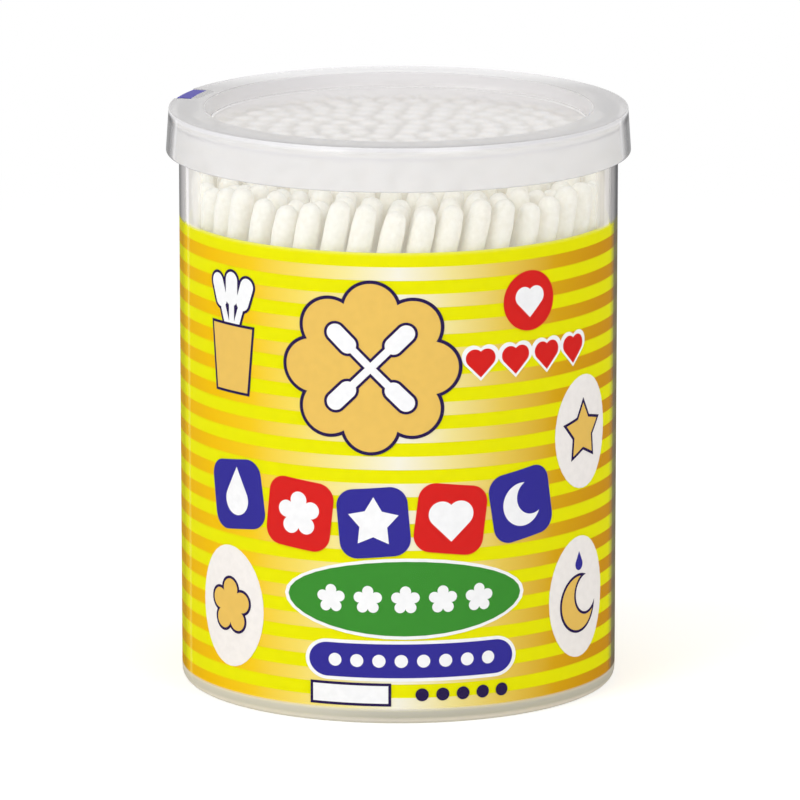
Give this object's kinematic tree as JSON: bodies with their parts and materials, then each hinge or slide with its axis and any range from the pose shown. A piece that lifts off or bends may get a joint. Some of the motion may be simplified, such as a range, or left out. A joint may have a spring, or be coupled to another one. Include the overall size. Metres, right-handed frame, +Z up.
{
  "type": "cotton swab tub",
  "caption": "Clear round tub of upright cotton swabs with a milky press-on lid and a striped, printed sleeve inside the wall; the lid lifts off.",
  "frame": {"origin": "centre of the tub's foot, on the surface it stands on", "axes": "+Z up along the tub's axis, -Y towards the front of the printed sleeve, +X to the viewer's right"},
  "size_m": [0.0678, 0.0678, 0.085],
  "materials": {
    "clear_wall": "clear, polished",
    "lid_plastic": "milky translucent, soft satin",
    "tape": "printed adhesive film",
    "label_yellow": "printed film, satin",
    "print_pale": "printed ink",
    "print_orange": "printed ink",
    "print_tan": "printed ink",
    "print_red": "printed ink",
    "print_blue": "printed ink",
    "print_green": "printed ink",
    "print_cream": "printed ink",
    "print_white": "printed ink",
    "print_navy": "printed ink",
    "stick_paper": "smooth rolled paper",
    "cotton": "fine cotton, soft matt"
  },
  "bodies": {
    "tub": {"tub": "clear_wall", "label_sleeve": "label_yellow", "stripes_pale": "print_pale", "stripes_orange": "print_orange", "print_tan": "print_tan", "print_red": "print_red", "print_blue": "print_blue", "print_green": "print_green", "print_cream": "print_cream", "print_white": "print_white", "print_navy": "print_navy", "sticks_row_1": "stick_paper", "sticks_row_2": "stick_paper", "sticks_row_3": "stick_paper", "sticks_row_4": "stick_paper", "sticks_row_5": "stick_paper", "sticks_row_6": "stick_paper", "sticks_row_7": "stick_paper", "sticks_row_8": "stick_paper", "buds_row_1": "cotton", "buds_row_2": "cotton", "buds_row_3": "cotton", "buds_row_4": "cotton", "buds_row_5": "cotton", "buds_row_6": "cotton", "buds_row_7": "cotton", "buds_row_8": "cotton"},
    "lid": {"lid": "lid_plastic", "seal_tab": "tape"}
  },
  "joints": [
    {"name": "lid_lift", "type": "slide", "parent": "tub", "child": "lid", "axis": [0, 0, 1], "range_m": [0, 0.08]}
  ]
}
